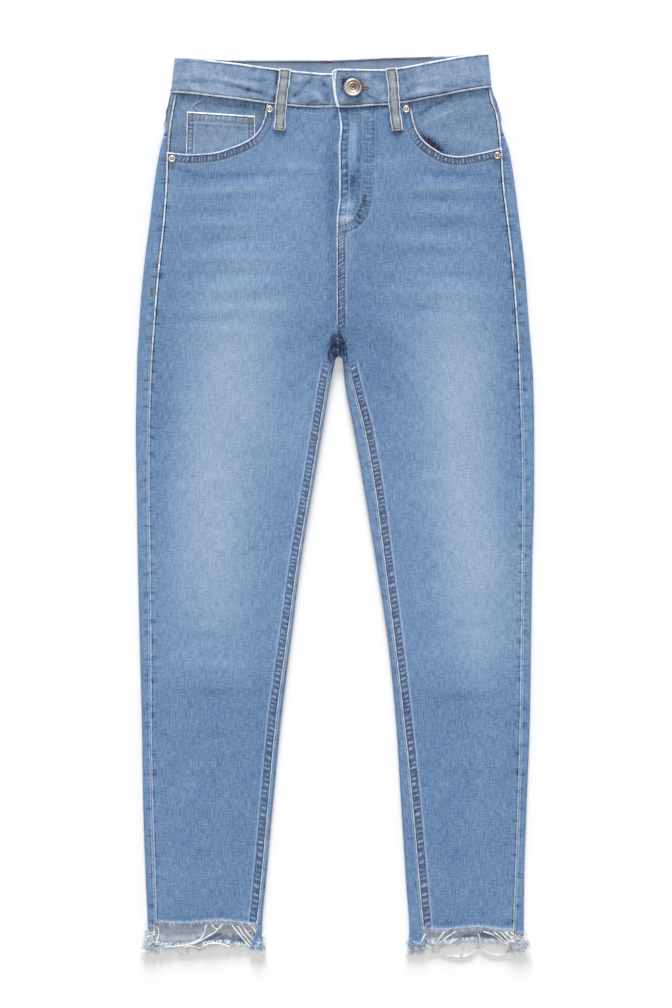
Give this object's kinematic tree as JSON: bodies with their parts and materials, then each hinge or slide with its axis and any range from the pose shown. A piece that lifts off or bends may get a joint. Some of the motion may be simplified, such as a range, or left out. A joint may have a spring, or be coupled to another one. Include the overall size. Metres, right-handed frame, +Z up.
{
  "type": "skinny jeans",
  "caption": "High-waisted ankle-length skinny jeans in faded mid-blue denim with raw frayed hems, laid flat on their back.",
  "frame": {"origin": "centre of the bounding box on the surface that the jeans lie on", "axes": "+Y towards the waist, +X towards the wearer's left leg, +Z up from the surface, out of the front"},
  "size_m": [0.4457, 1.0127, 0.0143],
  "materials": {
    "denim": "mid-blue stretch denim, washed and faded, matt",
    "thread": "undyed cotton threads drawn out of the raw hems",
    "button": "antique brass shank button, worn",
    "rivet": "antique copper-toned rivets",
    "zip_tape": "woven navy tape"
  },
  "bodies": {
    "root": {"back_left": "denim", "back_pocket_left": "denim", "back_pocket_right": "denim", "back_right": "denim", "back_yoke_left": "denim", "back_yoke_right": "denim", "belt_loop_back": "denim", "belt_loop_front_left": "denim", "belt_loop_front_right": "denim", "belt_loop_side_left": "denim", "belt_loop_side_right": "denim", "button": "button", "coin_pocket": "denim", "front_left": "denim", "front_right": "denim", "hem_fray_back_left": "thread", "hem_fray_back_right": "thread", "hem_fray_front_left": "thread", "hem_fray_front_right": "thread", "pocket_facing_left": "denim", "pocket_facing_right": "denim", "rivet_left_side": "rivet", "rivet_left_top": "rivet", "rivet_right_side": "rivet", "rivet_right_top": "rivet", "waistband": "denim", "zip": "zip_tape"}
  },
  "joints": []
}
